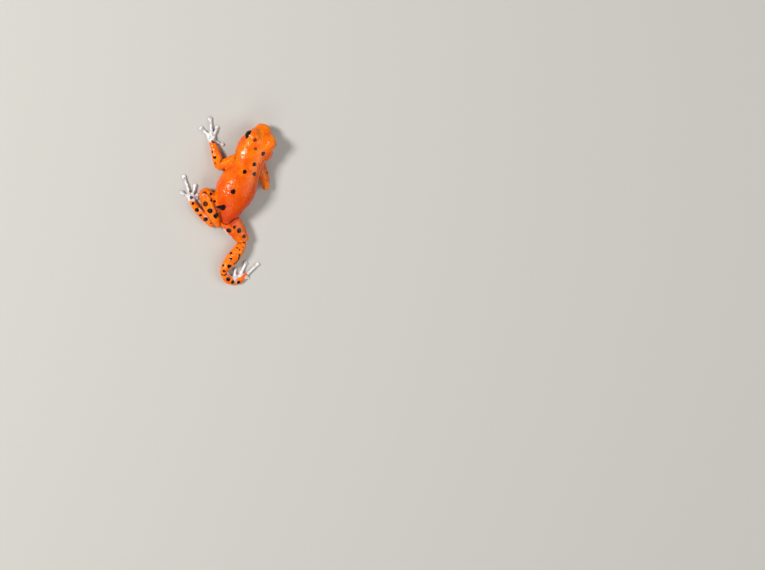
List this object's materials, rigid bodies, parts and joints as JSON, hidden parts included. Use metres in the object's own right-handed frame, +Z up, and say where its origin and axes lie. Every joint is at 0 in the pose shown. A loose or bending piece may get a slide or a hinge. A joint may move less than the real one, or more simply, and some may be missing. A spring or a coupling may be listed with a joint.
{
  "type": "strawberry poison dart frog",
  "caption": "Still, life-size orange frog lying low, its right hind leg stretched back, with black spots and pale hands and feet.",
  "frame": {"origin": "middle of the flat on which the belly rests, on the floor", "axes": "+Z up, -Y the way the snout points, +X the frog's left side"},
  "size_m": [0.0211, 0.0303, 0.0058],
  "materials": {
    "frog_skin": "moist, finely granular, orange with near-black spots",
    "pale_skin": "moist, smooth, whitish grey",
    "eye": "wet, mirror smooth, black"
  },
  "bodies": {
    "root": {"head": "frog_skin", "torso": "frog_skin", "left_eye": "eye", "right_eye": "eye", "left_upper_arm": "frog_skin", "left_forearm": "frog_skin", "left_hand": "pale_skin", "right_upper_arm": "frog_skin", "right_forearm": "frog_skin", "right_hand": "pale_skin", "left_thigh": "frog_skin", "left_shank": "frog_skin", "left_tarsus": "frog_skin", "left_foot": "pale_skin", "right_thigh": "frog_skin", "right_shank": "frog_skin", "right_tarsus": "frog_skin", "right_foot": "pale_skin"}
  },
  "joints": []
}
